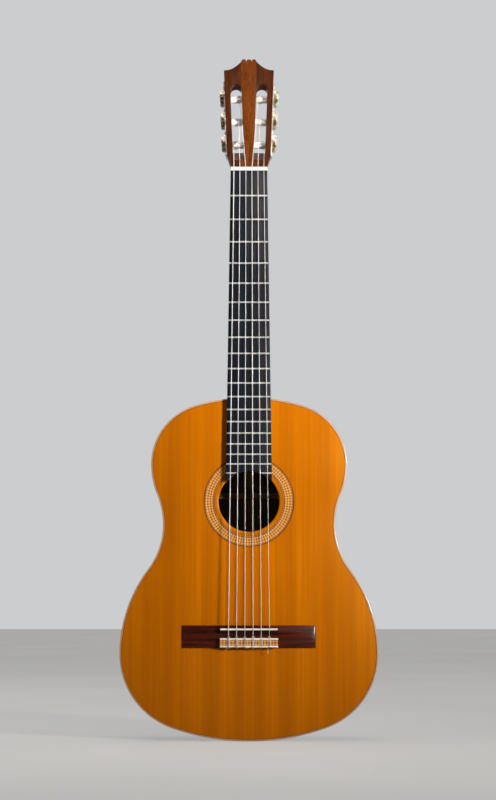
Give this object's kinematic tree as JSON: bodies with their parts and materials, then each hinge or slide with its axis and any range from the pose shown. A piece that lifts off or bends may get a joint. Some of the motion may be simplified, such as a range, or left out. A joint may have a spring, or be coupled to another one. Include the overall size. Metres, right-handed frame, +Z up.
{
  "type": "classical guitar",
  "caption": "Six-string classical guitar with a flat braced soundboard, arched back, slotted head and worm-driven tuning machines.",
  "frame": {"origin": "bottom centre of the whole guitar's box, on the surface below the tail", "axes": "+Z up the neck, -Y out of the soundboard towards the player, +X towards the treble side"},
  "size_m": [0.361, 0.1132, 0.9757],
  "materials": {
    "cedar_top": "gloss lacquer over cedar",
    "rosette_inlay": "wood mosaic under lacquer",
    "spruce_inside": "unfinished spruce",
    "rosewood_body": "gloss lacquer over rosewood",
    "maple_binding": "gloss lacquer over maple",
    "cedar_neck": "satin lacquer over mahogany-like cedar",
    "rosewood_veneer": "gloss lacquer over rosewood",
    "ebony_board": "oiled ebony",
    "fret_silver": "polished",
    "bone": "polished bone",
    "nylon": "clear nylon",
    "wound_string": "silver-plated copper winding",
    "nickel_plate": "worn nickel",
    "roller_white": "white plastic",
    "gear_brass": "aged brass",
    "button_cream": "cream pearl plastic"
  },
  "bodies": {
    "guitar": {"soundboard": "cedar_top", "rosette": "rosette_inlay", "fan_braces": "spruce_inside", "harmonic_bars": "spruce_inside", "soundhole_patch": "spruce_inside", "back_plate": "rosewood_body", "back_centre_inlay": "maple_binding", "back_braces": "spruce_inside", "back_seam_strip": "spruce_inside", "bass_rib": "rosewood_body", "treble_rib": "rosewood_body", "top_binding": "maple_binding", "back_binding": "maple_binding", "top_lining": "spruce_inside", "back_lining": "spruce_inside", "tail_block": "spruce_inside", "tail_strip": "maple_binding", "neck": "cedar_neck", "heel_cap": "rosewood_body", "headstock": "cedar_neck", "head_veneer": "rosewood_veneer", "fingerboard": "ebony_board", "frets": "fret_silver", "nut": "bone", "bridge": "rosewood_veneer", "tie_block_cap": "bone", "saddle": "bone", "string_1": "nylon", "string_2": "nylon", "string_3": "nylon", "string_4": "wound_string", "string_5": "wound_string", "string_6": "wound_string", "bass_machine_plate": "nickel_plate", "treble_machine_plate": "nickel_plate", "plate_screws": "nickel_plate"},
    "tuner_knob_1": {"worm_1": "nickel_plate", "button_1": "button_cream"},
    "string_roller_1": {"roller_1": "roller_white", "gear_1": "gear_brass"},
    "tuner_knob_2": {"worm_2": "nickel_plate", "button_2": "button_cream"},
    "string_roller_2": {"roller_2": "roller_white", "gear_2": "gear_brass"},
    "tuner_knob_3": {"worm_3": "nickel_plate", "button_3": "button_cream"},
    "string_roller_3": {"roller_3": "roller_white", "gear_3": "gear_brass"},
    "tuner_knob_4": {"worm_4": "nickel_plate", "button_4": "button_cream"},
    "string_roller_4": {"roller_4": "roller_white", "gear_4": "gear_brass"},
    "tuner_knob_5": {"worm_5": "nickel_plate", "button_5": "button_cream"},
    "string_roller_5": {"roller_5": "roller_white", "gear_5": "gear_brass"},
    "tuner_knob_6": {"worm_6": "nickel_plate", "button_6": "button_cream"},
    "string_roller_6": {"roller_6": "roller_white", "gear_6": "gear_brass"}
  },
  "joints": [
    {"name": "tuner_1_turn", "type": "hinge", "parent": "guitar", "child": "tuner_knob_1", "pos_m": [0.03613, -0.02912, 0.8546], "axis": [0, 0.9925, -0.1219], "continuous": true},
    {"name": "roller_1_turn", "type": "hinge", "parent": "guitar", "child": "string_roller_1", "pos_m": [0.03191, -0.03012, 0.84641], "axis": [0.9993, -0.0046, -0.0376], "continuous": true},
    {"name": "tuner_2_turn", "type": "hinge", "parent": "guitar", "child": "tuner_knob_2", "pos_m": [0.03745, -0.02486, 0.88931], "axis": [0, 0.9925, -0.1219], "continuous": true},
    {"name": "roller_2_turn", "type": "hinge", "parent": "guitar", "child": "string_roller_2", "pos_m": [0.03324, -0.02586, 0.88113], "axis": [0.9993, -0.0046, -0.0376], "continuous": true},
    {"name": "tuner_3_turn", "type": "hinge", "parent": "guitar", "child": "tuner_knob_3", "pos_m": [0.03878, -0.02059, 0.92402], "axis": [0, 0.9925, -0.1219], "continuous": true},
    {"name": "roller_3_turn", "type": "hinge", "parent": "guitar", "child": "string_roller_3", "pos_m": [0.03456, -0.0216, 0.91584], "axis": [0.9993, -0.0046, -0.0376], "continuous": true},
    {"name": "tuner_4_turn", "type": "hinge", "parent": "guitar", "child": "tuner_knob_4", "pos_m": [-0.03878, -0.02059, 0.92402], "axis": [0, 0.9925, -0.1219], "continuous": true},
    {"name": "roller_4_turn", "type": "hinge", "parent": "guitar", "child": "string_roller_4", "pos_m": [-0.03456, -0.0216, 0.91584], "axis": [0.9993, 0.0046, 0.0376], "continuous": true},
    {"name": "tuner_5_turn", "type": "hinge", "parent": "guitar", "child": "tuner_knob_5", "pos_m": [-0.03745, -0.02486, 0.88931], "axis": [0, 0.9925, -0.1219], "continuous": true},
    {"name": "roller_5_turn", "type": "hinge", "parent": "guitar", "child": "string_roller_5", "pos_m": [-0.03324, -0.02586, 0.88113], "axis": [0.9993, 0.0046, 0.0376], "continuous": true},
    {"name": "tuner_6_turn", "type": "hinge", "parent": "guitar", "child": "tuner_knob_6", "pos_m": [-0.03613, -0.02912, 0.8546], "axis": [0, 0.9925, -0.1219], "continuous": true},
    {"name": "roller_6_turn", "type": "hinge", "parent": "guitar", "child": "string_roller_6", "pos_m": [-0.03191, -0.03012, 0.84641], "axis": [0.9993, 0.0046, 0.0376], "continuous": true}
  ],
  "couplings": [
    {"joint": "roller_1_turn", "follows": "tuner_1_turn", "ratio": 0.071429},
    {"joint": "roller_2_turn", "follows": "tuner_2_turn", "ratio": 0.071429},
    {"joint": "roller_3_turn", "follows": "tuner_3_turn", "ratio": 0.071429},
    {"joint": "roller_4_turn", "follows": "tuner_4_turn", "ratio": -0.071429},
    {"joint": "roller_5_turn", "follows": "tuner_5_turn", "ratio": -0.071429},
    {"joint": "roller_6_turn", "follows": "tuner_6_turn", "ratio": -0.071429}
  ]
}
